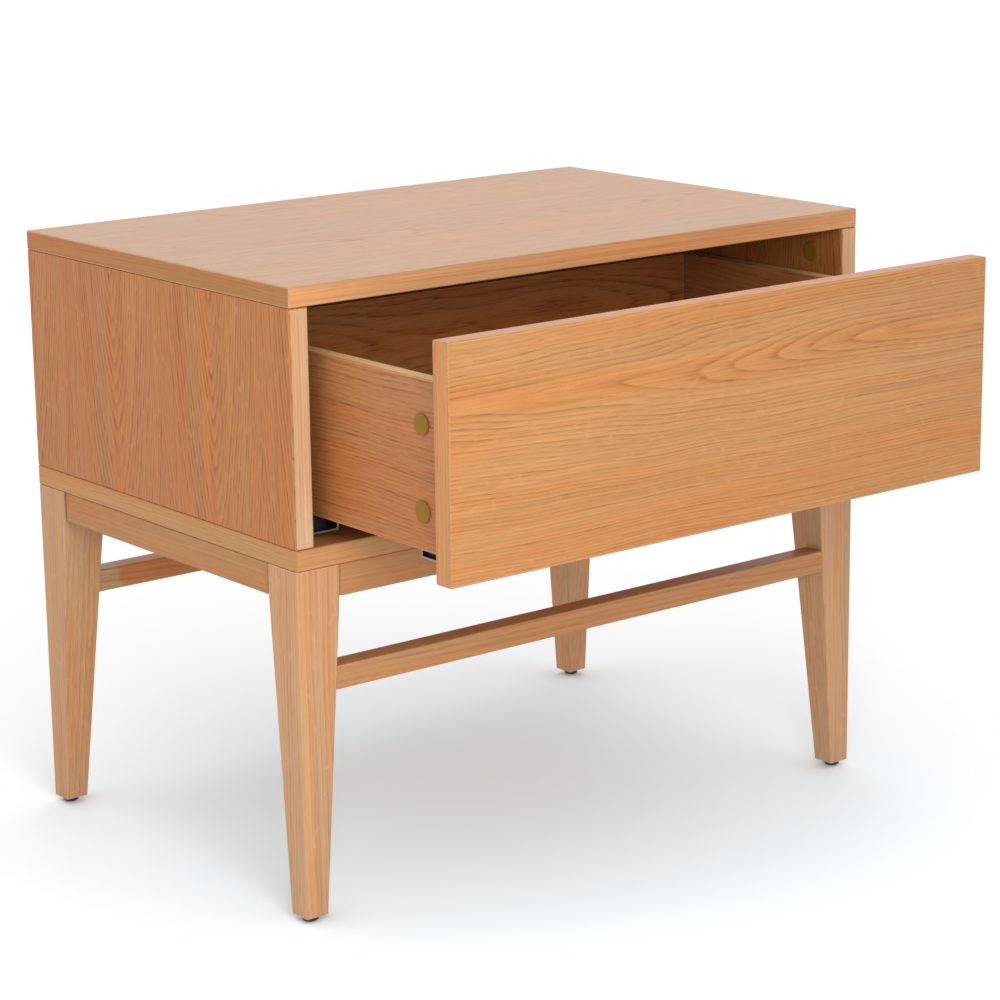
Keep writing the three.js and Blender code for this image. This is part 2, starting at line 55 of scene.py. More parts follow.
def newGroup(name, inputs, outputs):
    tree = bpy.data.node_groups.new(name, "ShaderNodeTree")
    for label, kind, value in inputs:
        socket = tree.interface.new_socket(label, in_out="INPUT", socket_type="NodeSocket" + kind)
        if value is not None:
            socket.default_value = value
    for label, kind in outputs:
        tree.interface.new_socket(label, in_out="OUTPUT", socket_type="NodeSocket" + kind)
    return tree, tree.nodes.new("NodeGroupInput").outputs, tree.nodes.new("NodeGroupOutput").inputs


def feed(tree, socket, value):  # a number, vector or colour is set, and a socket is linked
    if isinstance(value, bpy.types.NodeSocket):
        tree.links.new(value, socket)
    else:
        socket.default_value = value


def calc(tree, operation, *values):
    node = tree.nodes.new("ShaderNodeMath")
    node.operation = operation
    for socket, value in zip(node.inputs, values):
        feed(tree, socket, value)
    return node.outputs[0]


def joinXyz(tree, x, y, z):
    node = tree.nodes.new("ShaderNodeCombineXYZ")
    for socket, value in zip(node.inputs, (x, y, z)):
        feed(tree, socket, value)
    return node.outputs[0]


def splitXyz(tree, vector):
    node = tree.nodes.new("ShaderNodeSeparateXYZ")
    feed(tree, node.inputs[0], vector)
    return node.outputs


def noise(tree, vector, scale=1.0, detail=2.0, roughness=0.5):
    node = tree.nodes.new("ShaderNodeTexNoise")
    feed(tree, node.inputs["Vector"], vector)
    node.inputs["Scale"].default_value = scale
    node.inputs["Detail"].default_value = detail
    node.inputs["Roughness"].default_value = roughness
    return node.outputs


def ramp(tree, value, low, high, start=0.0, end=1.0):
    node = tree.nodes.new("ShaderNodeMapRange")
    node.interpolation_type = "SMOOTHSTEP"
    feed(tree, node.inputs["Value"], value)
    for label, number in (("From Min", low), ("From Max", high), ("To Min", start), ("To Max", end)):
        feed(tree, node.inputs[label], number)
    return node.outputs["Result"]


def mixColour(tree, share, first, second, blend="MIX"):
    node = tree.nodes.new("ShaderNodeMix")
    node.data_type = "RGBA"
    node.blend_type = blend
    feed(tree, node.inputs[0], share)
    feed(tree, node.inputs[6], first)
    feed(tree, node.inputs[7], second)
    return node.outputs[2]


def brighten(tree, colour, factor):
    node = tree.nodes.new("ShaderNodeVectorMath")
    node.operation = "SCALE"
    feed(tree, node.inputs[0], colour)
    feed(tree, node.inputs["Scale"], factor)
    return node.outputs[0]


# Effects that several materials share, each a node group.

# Oak with X along the grain, Y across the face and Z through the thickness. The growth rings are
# cylinders about a heart line that lies below the face and wanders, so a face cuts them in arches
# near the heart and in straight lines further off. A veneer repeats the cut in leaves.
def makeOakGrain():
    tree, given, result = newGroup(
        "oakGrain",
        [
            ("Place", "Vector", None),
            ("Ring Width", "Float", 0.004),
            ("Heart Depth", "Float", 0.06),
            ("Heart Slope", "Float", 0.05),
            ("Wander", "Float", 0.012),
            ("Ripple", "Float", 0.0012),
            ("Leaf Width", "Float", 10.0),
            ("Arch Roundness", "Float", 2.0),
            ("Sap End", "Float", -10.0),
            ("Ring Strength", "Float", 0.5),
            ("Pore Strength", "Float", 0.4),
            ("Ray Strength", "Float", 0.15),
            ("Tone Strength", "Float", 0.12),
            ("Base Roughness", "Float", 0.4),
            ("Light", "Color", (0.6, 0.36, 0.17, 1)),
            ("Dark", "Color", (0.42, 0.2, 0.08, 1)),
        ],
        [("Colour", "Color"), ("Roughness", "Float"), ("Height", "Float")],
    )
    x, y, z = splitXyz(tree, given["Place"])
    share = calc(tree, "DIVIDE", y, given["Leaf Width"])
    leaf = calc(tree, "ROUND", share)
    across = calc(tree, "MULTIPLY", calc(tree, "SUBTRACT", share, leaf), given["Leaf Width"])
    leafShift = calc(tree, "MULTIPLY", leaf, 0.21)

    def stretched(along, wide):
        return joinXyz(
            tree,
            calc(tree, "MULTIPLY", x, along),
            calc(tree, "MULTIPLY", across, wide),
            calc(tree, "ADD", calc(tree, "MULTIPLY", z, wide), leafShift),
        )

    slow = splitXyz(tree, noise(tree, stretched(3.2, 9.0), detail=2.0)["Color"])
    quick = noise(tree, stretched(13.0, 60.0), detail=2.0)["Fac"]

    def wandered(value, share):
        offset = calc(tree, "MULTIPLY", calc(tree, "SUBTRACT", share, 0.5), given["Wander"])
        return calc(tree, "ADD", value, calc(tree, "MULTIPLY", offset, 4.0))

    depth = calc(tree, "ADD", calc(tree, "ADD", z, given["Heart Depth"]),
                 calc(tree, "MULTIPLY", x, given["Heart Slope"]))
    sideways = wandered(across, slow[0])
    below = wandered(depth, slow[1])
    roundness = given["Arch Roundness"]
    radius = calc(tree, "ADD", calc(tree, "POWER", calc(tree, "ABSOLUTE", sideways), roundness),
                  calc(tree, "POWER", calc(tree, "ABSOLUTE", below), roundness))
    radius = calc(tree, "POWER", radius, calc(tree, "DIVIDE", 1.0, roundness))
    rippled = calc(tree, "ADD", radius, calc(tree, "MULTIPLY", given["Ripple"],
                                             calc(tree, "SUBTRACT", quick, 0.5)))
    phase = calc(tree, "DIVIDE", rippled, given["Ring Width"])
    ring = calc(tree, "FLOOR", phase)
    inRing = calc(tree, "FRACT", phase)
    ringNoise = tree.nodes.new("ShaderNodeTexWhiteNoise")
    ringNoise.noise_dimensions = "1D"
    feed(tree, ringNoise.inputs["W"], ring)
    early = calc(tree, "POWER", calc(tree, "SUBTRACT", 1.0, inRing), 2.8)
    band = calc(tree, "MAXIMUM", early, ramp(tree, inRing, 0.86, 1.0))
    band = calc(tree, "MULTIPLY", band, ramp(tree, ringNoise.outputs["Value"], 0.0, 1.0, 0.3, 1.0))

    fibre = noise(tree, stretched(14.0, 480.0), detail=3.0)["Fac"]
    streak = noise(tree, stretched(5.0, 150.0), detail=2.0)["Fac"]
    lines = noise(tree, stretched(4.5, 720.0), detail=3.0, roughness=0.65)["Fac"]
    pores = ramp(tree, noise(tree, stretched(55.0, 1100.0), detail=1.0)["Fac"], 0.54, 0.68)
    pores = calc(tree, "MULTIPLY", pores, calc(tree, "ADD", 0.35, calc(tree, "MULTIPLY", band, 0.65)))
    rays = ramp(tree, noise(tree, stretched(90.0, 130.0), detail=1.0)["Fac"], 0.62, 0.74)
    tone = noise(tree, stretched(1.7, 16.0), detail=2.0)["Fac"]
    warmth = ramp(tree, noise(tree, stretched(2.4, 46.0), detail=3.0)["Fac"], 0.36, 0.64)

    ringDark = calc(tree, "MULTIPLY", calc(tree, "MULTIPLY", band, given["Ring Strength"]),
                    ramp(tree, fibre, 0.36, 0.62, 0.35, 1.35))
    poreDark = calc(tree, "MULTIPLY", pores, given["Pore Strength"])
    rayLight = calc(tree, "MULTIPLY", rays, given["Ray Strength"])
    streakDark = calc(tree, "MULTIPLY", calc(tree, "SUBTRACT", streak, 0.45), given["Tone Strength"])
    dark = calc(tree, "ADD", calc(tree, "ADD", ringDark, poreDark), calc(tree, "MULTIPLY", streakDark, 3.0))
    dark = calc(tree, "SUBTRACT", dark, rayLight)
    held = tree.nodes.new("ShaderNodeClamp")
    feed(tree, held.inputs[0], dark)
    colour = mixColour(tree, held.outputs[0], given["Light"], given["Dark"])
    lift = calc(tree, "ADD", 1.0, calc(tree, "MULTIPLY", calc(tree, "SUBTRACT", tone, 0.5),
                                       given["Tone Strength"]))
    lift = calc(tree, "ADD", lift, calc(tree, "MULTIPLY", calc(tree, "SUBTRACT", fibre, 0.5), 0.3))
    lift = calc(tree, "ADD", lift, calc(tree, "MULTIPLY", calc(tree, "SUBTRACT", lines, 0.5), 0.55))
    lifted = brighten(tree, colour, lift)
    cooler = mixColour(tree, 1.0, lifted, (0.96, 1.05, 1.14, 1), "MULTIPLY")
    warmer = mixColour(tree, 1.0, lifted, (1.04, 0.94, 0.84, 1), "MULTIPLY")
    heartwood = mixColour(tree, warmth, cooler, warmer)
    sap = mixColour(tree, 1.0, heartwood, (0.9, 1.6, 2.6, 1), "MULTIPLY")
    sapEdge = calc(tree, "ADD", given["Sap End"], calc(tree, "MULTIPLY", quick, 0.03))
    inSap = ramp(tree, calc(tree, "SUBTRACT", sapEdge, x), -0.002, 0.004)
    feed(tree, result["Colour"], mixColour(tree, inSap, heartwood, sap))
    rough = calc(tree, "ADD", given["Base Roughness"], calc(tree, "MULTIPLY", pores, 0.16))
    feed(tree, result["Roughness"],
         calc(tree, "ADD", rough, calc(tree, "MULTIPLY", calc(tree, "SUBTRACT", fibre, 0.5), 0.12)))
    height = calc(tree, "SUBTRACT", calc(tree, "MULTIPLY", fibre, 0.35), pores)
    feed(tree, result["Height"], calc(tree, "SUBTRACT", height, calc(tree, "MULTIPLY", band, 0.3)))
    return tree


# Lightens and polishes the eased edges, unevenly, as handling does; the lightening is also a painted
# highlight along the arrises.
def makeEdgeWearAndHighlight():
    tree, given, result = newGroup(
        "edgeWearAndHighlight",
        [
            ("Colour", "Color", (0.5, 0.5, 0.5, 1)),
            ("Roughness", "Float", 0.4),
            ("Edge", "Float", 0.0),
            ("Place", "Vector", None),
            ("Amount", "Float", 0.4),
        ],
        [("Colour", "Color"), ("Roughness", "Float")],
    )
    patches = noise(tree, given["Place"], scale=38.0, detail=3.0)["Fac"]
    wornAndHighlit = calc(tree, "MULTIPLY", given["Edge"], given["Amount"])
    wornAndHighlit = calc(tree, "MULTIPLY", wornAndHighlit, ramp(tree, patches, 0.3, 0.65, 0.35, 1.0))
    # The paler edge colour is wear and a painted highlight in one.
    paler = mixColour(tree, wornAndHighlit, given["Colour"], (0.86, 0.66, 0.47, 1))
    feed(tree, result["Colour"], paler)
    feed(tree, result["Roughness"],
         calc(tree, "SUBTRACT", given["Roughness"], calc(tree, "MULTIPLY", wornAndHighlit, 0.12)))
    return tree


# Fine scratches and smudges for metal and plastic.
def makeHandled():
    tree, given, result = newGroup(
        "handledSurface",
        [
            ("Place", "Vector", None),
            ("Colour", "Color", (0.6, 0.6, 0.6, 1)),
            ("Base Roughness", "Float", 0.3),
            ("Smudge", "Float", 0.12),
            ("Scale", "Float", 1.0),
        ],
        [("Colour", "Color"), ("Roughness", "Float"), ("Height", "Float")],
    )
    sized = brighten(tree, given["Place"], given["Scale"])
    blotch = noise(tree, sized, scale=60.0, detail=3.0)["Fac"]
    grit = noise(tree, sized, scale=900.0, detail=2.0)["Fac"]
    swing = calc(tree, "ADD", 0.86, calc(tree, "MULTIPLY", blotch, 0.28))
    feed(tree, result["Colour"], brighten(tree, given["Colour"], swing))
    feed(tree, result["Roughness"], calc(tree, "ADD", given["Base Roughness"],
                                         calc(tree, "MULTIPLY", blotch, given["Smudge"])))
    feed(tree, result["Height"], grit)
    return tree


oakGrain = makeOakGrain()
edgeWearAndHighlight = makeEdgeWearAndHighlight()
handledSurface = makeHandled()


# Materials: the oak finishes first, then metal, plastic and rubber.

# "grain" names the object axes that lie along, across and through; "heart" moves the heart line.
oakFinishes = {
    "oakTop": dict(
        grain="xyz", heart=(0.1, 0.03, 0.0), ringWidth=0.0030, depth=0.03, slope=0.03,
        wander=0.006, leaf=0.19, rings=0.42, pores=0.5, rays=0.15, tone=0.16, rough=0.34, gloss=0.5,
        light=(0.47, 0.235, 0.095, 1), dark=(0.28, 0.11, 0.032, 1),
    ),
    "oakSide": dict(
        grain="zyx", heart=(0.0, -0.0615, 0.0), ringWidth=0.0034, depth=0.034, slope=-0.17,
        wander=0.004, leaf=0.145, arch=1.35, rings=0.86, pores=0.56, rays=0.5, tone=0.2, rough=0.42,
        light=(0.405, 0.149, 0.037, 1), dark=(0.215, 0.057, 0.009, 1),
    ),
    "oakFront": dict(
        grain="xzy", heart=(0.0, -0.041, 0.0), ringWidth=0.0027, depth=0.032, slope=-0.04,
        wander=0.006, leaf=10.0, arch=1.7, rings=0.68, pores=0.45, rays=0.25, tone=0.16, rough=0.38,
        light=(0.40, 0.180, 0.058, 1), dark=(0.235, 0.08, 0.017, 1),
    ),
    "oakDrawer": dict(
        grain="yzx", heart=(0.0, -0.10, 0.0), ringWidth=0.0032, depth=0.05, slope=0.03,
        wander=0.006, leaf=10.0, rings=0.72, pores=0.8, rays=0.2, tone=0.14, rough=0.45,
        light=(0.37, 0.143, 0.045, 1), dark=(0.20, 0.056, 0.014, 1),
    ),
    "oakDrawerBack": dict(
        grain="xzy", heart=(0.0, -0.02, 0.0), ringWidth=0.0024, depth=0.06, slope=0.03,
        wander=0.006, leaf=10.0, rings=0.85, pores=0.95, rays=0.2, tone=0.14, rough=0.45,
        light=(0.42, 0.160, 0.046, 1), dark=(0.19, 0.052, 0.012, 1),
    ),
    "thinBoard": dict(
        grain="xyz", heart=(0.0, 0.05, 0.0), ringWidth=0.0036, depth=0.06, slope=0.04,
        wander=0.006, leaf=0.19, rings=0.4, pores=0.4, rays=0.1, tone=0.12, rough=0.5,
        light=(0.40, 0.165, 0.050, 1), dark=(0.24, 0.075, 0.017, 1),
    ),
    "backBoard": dict(
        grain="zxy", heart=(0.0, 0.02, 0.0), ringWidth=0.0036, depth=0.05, slope=-0.15,
        wander=0.006, leaf=0.16, arch=1.5, rings=0.3, pores=0.4, rays=0.1, tone=0.12, rough=0.52,
        light=(0.40, 0.165, 0.050, 1), dark=(0.24, 0.075, 0.017, 1),
    ),
    # Front and back edges of the top, top and bottom edges of the drawer front: lightened as painted light,
    # lifting the drawer front's shade on the top's front edge and painting a highlight on the drawer
    # front's top edge.
    "lippingXPaintedLight": dict(
        grain="xzy", heart=(0.0, 0.3, 0.0), ringWidth=0.0028, depth=0.3, slope=0.02,
        wander=0.003, leaf=10.0, rings=0.4, pores=0.4, rays=0.1, tone=0.12, rough=0.4,
        light=(0.51, 0.240, 0.098, 1), dark=(0.31, 0.124, 0.042, 1),
    ),
    "lippingY": dict(
        grain="yzx", heart=(0.0, 0.3, 0.0), ringWidth=0.0028, depth=0.3, slope=0.02,
        wander=0.003, leaf=10.0, rings=0.4, pores=0.4, rays=0.1, tone=0.16, rough=0.4,
        light=(0.36, 0.137, 0.030, 1), dark=(0.21, 0.068, 0.013, 1),
    ),
    "baseLippingY": dict(
        grain="yzx", heart=(0.0, 0.3, 0.0), ringWidth=0.0028, depth=0.3, slope=0.02,
        wander=0.003, leaf=10.0, rings=0.4, pores=0.4, rays=0.1, tone=0.16, rough=0.4,
        light=(0.42, 0.195, 0.058, 1), dark=(0.25, 0.102, 0.026, 1),
    ),
    "baseLippingX": dict(
        grain="xzy", heart=(0.0, 0.3, 0.0), ringWidth=0.0028, depth=0.3, slope=0.02,
        wander=0.003, leaf=10.0, rings=0.4, pores=0.4, rays=0.1, tone=0.12, rough=0.4,
        light=(0.42, 0.19, 0.066, 1), dark=(0.25, 0.10, 0.028, 1),
    ),
    # Top and bottom edges of the drawer box: a paler edge band, lightened further by a painted highlight.
    "boxLippingYPaleWithHighlight": dict(
        grain="yzx", heart=(0.0, 0.3, 0.0), ringWidth=0.0028, depth=0.3, slope=0.02,
        wander=0.003, leaf=10.0, rings=0.35, pores=0.3, rays=0.1, tone=0.16, rough=0.45,
        light=(0.63, 0.35, 0.145, 1), dark=(0.42, 0.20, 0.065, 1),
    ),
    "boxLippingXPaleWithHighlight": dict(
        grain="xzy", heart=(0.0, 0.3, 0.0), ringWidth=0.0028, depth=0.3, slope=0.02,
        wander=0.003, leaf=10.0, rings=0.35, pores=0.3, rays=0.1, tone=0.16, rough=0.45,
        light=(0.63, 0.35, 0.145, 1), dark=(0.42, 0.20, 0.065, 1),
    ),
    "lippingZ": dict(
        grain="zxy", heart=(0.0, 0.3, 0.0), ringWidth=0.0030, depth=0.3, slope=0.02,
        wander=0.003, leaf=10.0, rings=0.5, pores=0.4, rays=0.1, tone=0.16, rough=0.4,
        light=(0.50, 0.31, 0.17, 1), dark=(0.33, 0.17, 0.075, 1),
    ),
    "frontLippingZ": dict(
        grain="zxy", heart=(0.0, 0.3, 0.0), ringWidth=0.0030, depth=0.3, slope=0.02,
        wander=0.003, leaf=10.0, rings=0.5, pores=0.4, rays=0.1, tone=0.16, rough=0.4,
        light=(0.44, 0.195, 0.064, 1), dark=(0.27, 0.10, 0.025, 1),
    ),
    "solidX": dict(
        grain="xzy", heart=(0.0, 0.3, 0.3), ringWidth=0.0032, depth=0.2, slope=0.02,
        wander=0.003, leaf=10.0, rings=0.45, pores=0.4, rays=0.35, tone=0.2, rough=0.42,
        light=(0.40, 0.18, 0.065, 1), dark=(0.245, 0.095, 0.028, 1),
    ),
    "rearStretcher": dict(
        grain="xzy", heart=(0.0, 0.3, 0.3), ringWidth=0.0032, depth=0.2, slope=0.02,
        wander=0.003, leaf=10.0, rings=0.45, pores=0.4, rays=0.35, tone=0.2, rough=0.42,
        light=(0.48, 0.175, 0.050, 1), dark=(0.29, 0.09, 0.02, 1), sapEnd=0.15,
    ),
    "blockWood": dict(
        grain="xyz", heart=(0.0, 0.3, 0.3), ringWidth=0.0032, depth=0.2, slope=0.02,
        wander=0.003, leaf=10.0, rings=0.45, pores=0.4, rays=0.35, tone=0.2, rough=0.55,
        light=(0.42, 0.22, 0.09, 1), dark=(0.26, 0.12, 0.04, 1), ownPlace=False,
    ),
    "solidY": dict(
        grain="yzx", heart=(0.0, 0.3, 0.2), ringWidth=0.0032, depth=0.2, slope=0.02,
        wander=0.003, leaf=10.0, rings=0.45, pores=0.4, rays=0.35, tone=0.2, rough=0.42,
        light=(0.37, 0.161, 0.046, 1), dark=(0.225, 0.081, 0.019, 1),
    ),
    "solidZ": dict(
        grain="zxy", heart=(0.0, 0.3, 0.2), ringWidth=0.0032, depth=0.2, slope=0.02,
        wander=0.003, leaf=10.0, rings=0.5, pores=0.4, rays=0.4, tone=0.2, rough=0.42,
        light=(0.45, 0.235, 0.108, 1), dark=(0.28, 0.123, 0.045, 1),
    ),
}
oakGloss = 0.3
# The last value sets how much the eased edges are lightened, as wear and as a painted highlight.
oakBump = {"strength": 0.25, "depth": 0.0004, "wearAndHighlight": 0.35}


def placeGroup(material, group):
    node = material.node_tree.nodes.new("ShaderNodeGroup")
    node.node_tree = group
    return node


def objectPlace(tree):
    return tree.nodes.new("ShaderNodeTexCoord").outputs["Object"]


def bumpInto(tree, surface, height, strength, depth):
    bump = tree.nodes.new("ShaderNodeBump")
    bump.inputs["Strength"].default_value = strength
    bump.inputs["Distance"].default_value = depth
    tree.links.new(height, bump.inputs["Height"])
    tree.links.new(bump.outputs[0], surface.inputs["Normal"])


def blankMaterial(name):
    material = bpy.data.materials.new(name)
    material.use_nodes = True
    return material, material.node_tree, material.node_tree.nodes["Principled BSDF"]


def oakMaterial(name, finish):
    material, tree, surface = blankMaterial(name)
    if finish.get("ownPlace", True):
        spot = tree.nodes.new("ShaderNodeAttribute")
        spot.attribute_name = "grainPlace"
        place = spot.outputs["Vector"]
    else:
        place = objectPlace(tree)
    axes = splitXyz(tree, place)
    along, across, through = (axes["xyz".index(letter)] for letter in finish["grain"])
    turned = tree.nodes.new("ShaderNodeMapping")
    turned.inputs["Location"].default_value = finish["heart"]
    feed(tree, turned.inputs["Vector"], joinXyz(tree, along, across, through))
    grain = placeGroup(material, oakGrain)
    tree.links.new(turned.outputs[0], grain.inputs["Place"])
    for label, key in (("Ring Width", "ringWidth"), ("Heart Depth", "depth"), ("Heart Slope", "slope"),
                       ("Wander", "wander"), ("Leaf Width", "leaf"), ("Arch Roundness", "arch"),
                       ("Sap End", "sapEnd"), ("Ring Strength", "rings"),
                       ("Pore Strength", "pores"), ("Ray Strength", "rays"),
                       ("Tone Strength", "tone"), ("Base Roughness", "rough")):
        if key in finish:
            grain.inputs[label].default_value = finish[key]
    grain.inputs["Light"].default_value = finish["light"]
    grain.inputs["Dark"].default_value = finish["dark"]
    # The eased edges are lightened: wear and a painted highlight.
    edge = tree.nodes.new("ShaderNodeAttribute")
    edge.attribute_name = "wearAndHighlight"
    wornAndHighlit = placeGroup(material, edgeWearAndHighlight)
    wornAndHighlit.inputs["Amount"].default_value = oakBump["wearAndHighlight"]
    tree.links.new(grain.outputs["Colour"], wornAndHighlit.inputs["Colour"])
    tree.links.new(grain.outputs["Roughness"], wornAndHighlit.inputs["Roughness"])
    tree.links.new(edge.outputs["Fac"], wornAndHighlit.inputs["Edge"])
    tree.links.new(place, wornAndHighlit.inputs["Place"])
    tree.links.new(wornAndHighlit.outputs["Colour"], surface.inputs["Base Color"])
    tree.links.new(wornAndHighlit.outputs["Roughness"], surface.inputs["Roughness"])
    surface.inputs["Specular IOR Level"].default_value = finish.get("gloss", oakGloss)
    bumpInto(tree, surface, grain.outputs["Height"], oakBump["strength"], oakBump["depth"])
    return material


hardFinishes = {
    "olivePlastic": dict(colour=(0.215, 0.105, 0.014, 1), metal=0.0, rough=0.5, smudge=0.12, bump=0.08,
                         gloss=0.2),
    "zincSteel": dict(colour=(0.26, 0.265, 0.28, 1), metal=1.0, rough=0.3, smudge=0.2, bump=0.05),
    "castZinc": dict(colour=(0.33, 0.32, 0.31, 1), metal=1.0, rough=0.38, smudge=0.15, bump=0.2),
    "screwSteel": dict(colour=(0.66, 0.62, 0.50, 1), metal=1.0, rough=0.3, smudge=0.15, bump=0.05),
    "blackPlastic": dict(colour=(0.016, 0.015, 0.014, 1), metal=0.0, rough=0.46, smudge=0.1, bump=0.1),
    # Black for the blocks in the rails: painted shade.
    "paintedShadeBlack": dict(colour=(0.010, 0.010, 0.010, 1), metal=0.0, rough=0.85, smudge=0.05, bump=0.1,
                        gloss=0.15),
}


def hardMaterial(name, finish):
    material, tree, surface = blankMaterial(name)
    handled = placeGroup(material, handledSurface)
    tree.links.new(objectPlace(tree), handled.inputs["Place"])
    handled.inputs["Colour"].default_value = finish["colour"]
    handled.inputs["Base Roughness"].default_value = finish["rough"]
    handled.inputs["Smudge"].default_value = finish["smudge"]
    surface.inputs["Metallic"].default_value = finish["metal"]
    surface.inputs["Specular IOR Level"].default_value = finish.get("gloss", 0.5)
    tree.links.new(handled.outputs["Colour"], surface.inputs["Base Color"])
    tree.links.new(handled.outputs["Roughness"], surface.inputs["Roughness"])
    bumpInto(tree, surface, handled.outputs["Height"], finish["bump"], 0.0001)
    return material


materials = {name: oakMaterial(name, finish) for name, finish in oakFinishes.items()}
materials.update({name: hardMaterial(name, finish) for name, finish in hardFinishes.items()})
print("materials made:", len(materials))


# Mesh helpers, used by every wooden piece.

# Rounds the given edges and marks the new strips for wear and a painted highlight.
def easeEdges(bm, edges, radius, segments=3):
    bmesh.ops.recalc_face_normals(bm, faces=bm.faces[:])
    made = bmesh.ops.bevel(bm, geom=list(edges), offset=radius, offset_type="OFFSET", segments=segments,
                           profile=0.5, affect="EDGES", clamp_overlap=True)
    wearAndHighlight = bm.verts.layers.float.get("wearAndHighlight") or bm.verts.layers.float.new("wearAndHighlight")
    strips = set(made["faces"])
    for vert in made["verts"]:
        if vert.is_valid and all(face in strips for face in vert.link_faces):
            vert[wearAndHighlight] = 1.0


def sharpEdges(bm, angle=math.radians(35)):
    return [edge for edge in bm.edges if edge.is_manifold and edge.calc_face_angle(0) > angle]


def addBox(bm, low, high):
    corners8 = [bm.verts.new((x, y, z)) for x in (low[0], high[0]) for y in (low[1], high[1])
                for z in (low[2], high[2])]
    for ring in ((0, 1, 3, 2), (4, 6, 7, 5), (0, 4, 5, 1), (2, 3, 7, 6), (0, 2, 6, 4), (1, 5, 7, 3)):
        bm.faces.new([corners8[i] for i in ring])
    return corners8


# A prism from an outline in a plane across one axis, between two places on that axis.
def addPrism(bm, outline, axis, start, end):
    def place(u, v, w):
        values = [u, v]
        values.insert(axis, w)
        return bm.verts.new(values)

    near = [place(u, v, start) for u, v in outline]
    far = [place(u, v, end) for u, v in outline]
    bm.faces.new(near)
    bm.faces.new(list(reversed(far)))
    count = len(outline)
    for i in range(count):
        bm.faces.new((near[i], far[i], far[(i + 1) % count], near[(i + 1) % count]))


# Each wooden piece is cut from its own spot in the timber, kept as a vector on its vertices.
def cutFromTimber(mesh, centre, spot):
    places = mesh.attributes.new("grainPlace", "FLOAT_VECTOR", "POINT")
    for vert, place in zip(mesh.vertices, places.data):
        place.vector = vert.co - centre + spot


def linkPiece(name, mesh, finishNames):
    for finishName in finishNames:
        mesh.materials.append(materials[finishName])
    piece = bpy.data.objects.new(name, mesh)
    bpy.context.scene.collection.objects.link(piece)
    return piece


def finishPiece(name, bm, finishNames, body, slot, *nodes, spot=(0, 0, 0)):
    bmesh.ops.recalc_face_normals(bm, faces=bm.faces[:])
    mesh = bpy.data.meshes.new(name)
    bm.to_mesh(mesh)
    bm.free()
    low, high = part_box(nodes[0])
    cutFromTimber(mesh, (low + high) / 2, Vector(spot))
    mesh.polygons.foreach_set("use_smooth", [True] * len(mesh.polygons))
    piece = linkPiece(name, mesh, finishNames)
    even = piece.modifiers.new("Even shading", "WEIGHTED_NORMAL")
    even.keep_sharp = True
    even.weight = 90
    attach(piece, body)
    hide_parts(*nodes)
    return piece


# A veneered board: two faces, and a lipping round its edge whose grain runs along each side.
# Finishes are the face, then the lipping on the sides across each in-plane axis.
def makeBoard(name, node, across, finishNames, body, slot, lip=1.2 * mm, ease=0.7 * mm):
    low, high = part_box(node)
    bm = bmesh.new()
    addBox(bm, low, high)
    bm.normal_update()
    plane = [axis for axis in range(3) if axis != across]
    broad = [face for face in bm.faces if abs(face.normal[across]) > 0.9]
    for face in broad:
        bmesh.ops.inset_region(bm, faces=[face], thickness=lip, use_even_offset=True)
    bm.normal_update()
    middle = (low + high) / 2
    half = (high - low) / 2
    for face in bm.faces:
        centre = face.calc_center_median() - middle
        reach = [half[axis] - abs(centre[axis]) for axis in plane]
        if face in broad:
            face.material_index = 0
        else:
            face.material_index = 1 if reach[0] < reach[1] else 2
    easeEdges(bm, sharpEdges(bm), ease)
    return finishPiece(name, bm, finishNames, body, slot, node)


print("making the carcass")

carcassEase = {"top": 0.9 * mm, "side": 1.0 * mm, "bottom": 1.0 * mm}
thinBoardEdge = {"lip": 0.5 * mm, "ease": 0.4 * mm}
makeBoard("topPanel", "top_panel", 2, ("oakTop", "lippingY", "lippingXPaintedLight"), "carcass", "oak_top",
          ease=carcassEase["top"])
makeBoard("bottomPanel", "bottom_panel", 2, ("thinBoard", "baseLippingY", "baseLippingX"), "carcass",
          "oak_solid", ease=carcassEase["bottom"])
for side in sides:
    makeBoard(f"sidePanel_{side}", f"side_panel_{side}", 0, ("oakSide", "lippingZ", "lippingY"),
              "carcass", "oak_side", ease=carcassEase["side"])
makeBoard("backPanel", "back_panel", 1, ("backBoard", "backBoard", "backBoard"), "carcass",
          "oak_thin_board", **thinBoardEdge)


print("making the leg frame")

legShape = {"foot": 21 * mm, "ease": 1.3 * mm, "footEase": 0.9 * mm, "segments": 4}
apronShape = {"endBevel": 3 * mm, "ease": 1.0 * mm, "gap": 0.2 * mm}
stretcherShape = {"ease": 1.2 * mm, "gap": 0.15 * mm}
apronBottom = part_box("apron_front")[0].z


